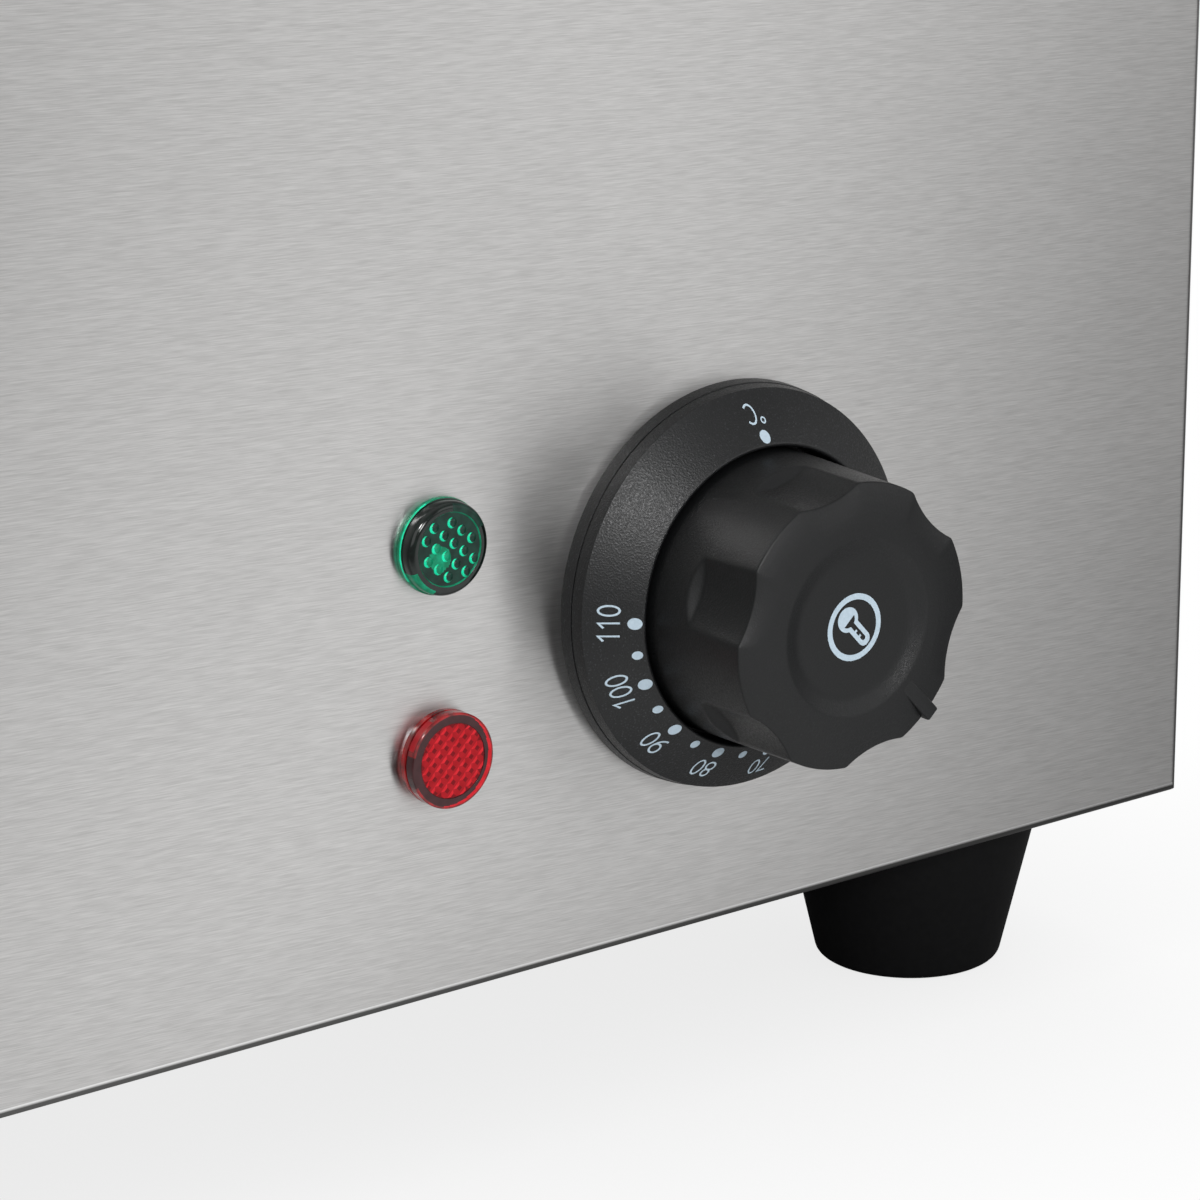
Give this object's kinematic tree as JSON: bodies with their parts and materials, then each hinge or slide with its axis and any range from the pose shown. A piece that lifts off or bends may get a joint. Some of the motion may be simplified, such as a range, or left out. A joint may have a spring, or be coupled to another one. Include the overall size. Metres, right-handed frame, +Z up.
{
  "type": "bain-marie",
  "caption": "Countertop bain-marie: brushed steel casing with a control dial and two lamps, a water tank, a lift-out food pan and a folding lid.",
  "frame": {"origin": "on the floor, under the middle of the whole object's box", "axes": "+Z up, -Y out of the control panel, +X to the right seen from the front"},
  "size_m": [0.3524, 0.6432, 0.2942],
  "materials": {
    "stainless": "brushed, fine straight grain",
    "zinc_steel": "bright zinc plate",
    "heater_sheath": "heat-darkened steel tube",
    "copper": "drawn copper",
    "foot_rubber": "smooth matt rubber",
    "black_plastic": "fine moulded grain",
    "thermostat_case": "pressed sheet",
    "green_lens": "clear tinted polycarbonate",
    "red_lens": "clear tinted polycarbonate",
    "ceramic": "unglazed ceramic",
    "seal_rubber": "matt rubber",
    "brass": "turned brass"
  },
  "bodies": {
    "casing": {"outer_casing": "stainless", "rear_cover": "stainless", "base_plate": "stainless", "deck": "stainless", "tank": "stainless", "rear_screws": "zinc_steel", "base_screws": "zinc_steel", "clamp_bars": "zinc_steel", "clamp_studs": "zinc_steel", "clamp_nuts": "zinc_steel", "bulb_clip": "zinc_steel", "foot_screws": "zinc_steel", "foot_nuts": "zinc_steel", "thermostat_screws": "zinc_steel", "lamp_nuts": "zinc_steel", "terminal_screws": "zinc_steel", "heating_element": "heater_sheath", "sensor_bulb": "copper", "capillary_tube": "copper", "foot_front_left": "foot_rubber", "foot_front_right": "foot_rubber", "foot_rear_left": "foot_rubber", "foot_rear_right": "foot_rubber", "dial_bezel": "black_plastic", "cable_gland": "black_plastic", "gland_cap": "black_plastic", "gland_locknut": "black_plastic", "thermostat_body": "thermostat_case", "green_lens": "green_lens", "red_lens": "red_lens", "green_lamp_body": "ceramic", "red_lamp_body": "ceramic", "terminal_block": "ceramic", "gland_seal": "seal_rubber", "earth_stud": "brass", "earth_nuts": "brass"},
    "knob": {"knob": "black_plastic", "thermostat_shaft": "zinc_steel"},
    "pan": {"food_pan": "stainless"},
    "lid_rear": {"lid_rear": "stainless", "lid_hinge_pin": "zinc_steel", "lid_handle_rear": "stainless", "handle_screws_rear": "zinc_steel"},
    "lid_front": {"lid_front": "stainless", "lid_handle_front": "stainless", "handle_screws_front": "zinc_steel"}
  },
  "joints": [
    {"name": "knob_turn", "type": "hinge", "parent": "casing", "child": "knob", "pos_m": [0.0738, -0.28935, 0.0873], "axis": [0, -1, 0], "range_deg": [-132.6, 137.4]},
    {"name": "pan_lift", "type": "slide", "parent": "casing", "child": "pan", "axis": [0, 0, 1], "range_m": [0, 0.2]},
    {"name": "lid_lift", "type": "slide", "parent": "pan", "child": "lid_rear", "axis": [0, 0, 1], "range_m": [0, 0.12]},
    {"name": "lid_fold", "type": "hinge", "parent": "lid_rear", "child": "lid_front", "pos_m": [0, 0.02165, 0.2567], "axis": [-1, 0, 0], "range_deg": [0, 150]}
  ]
}
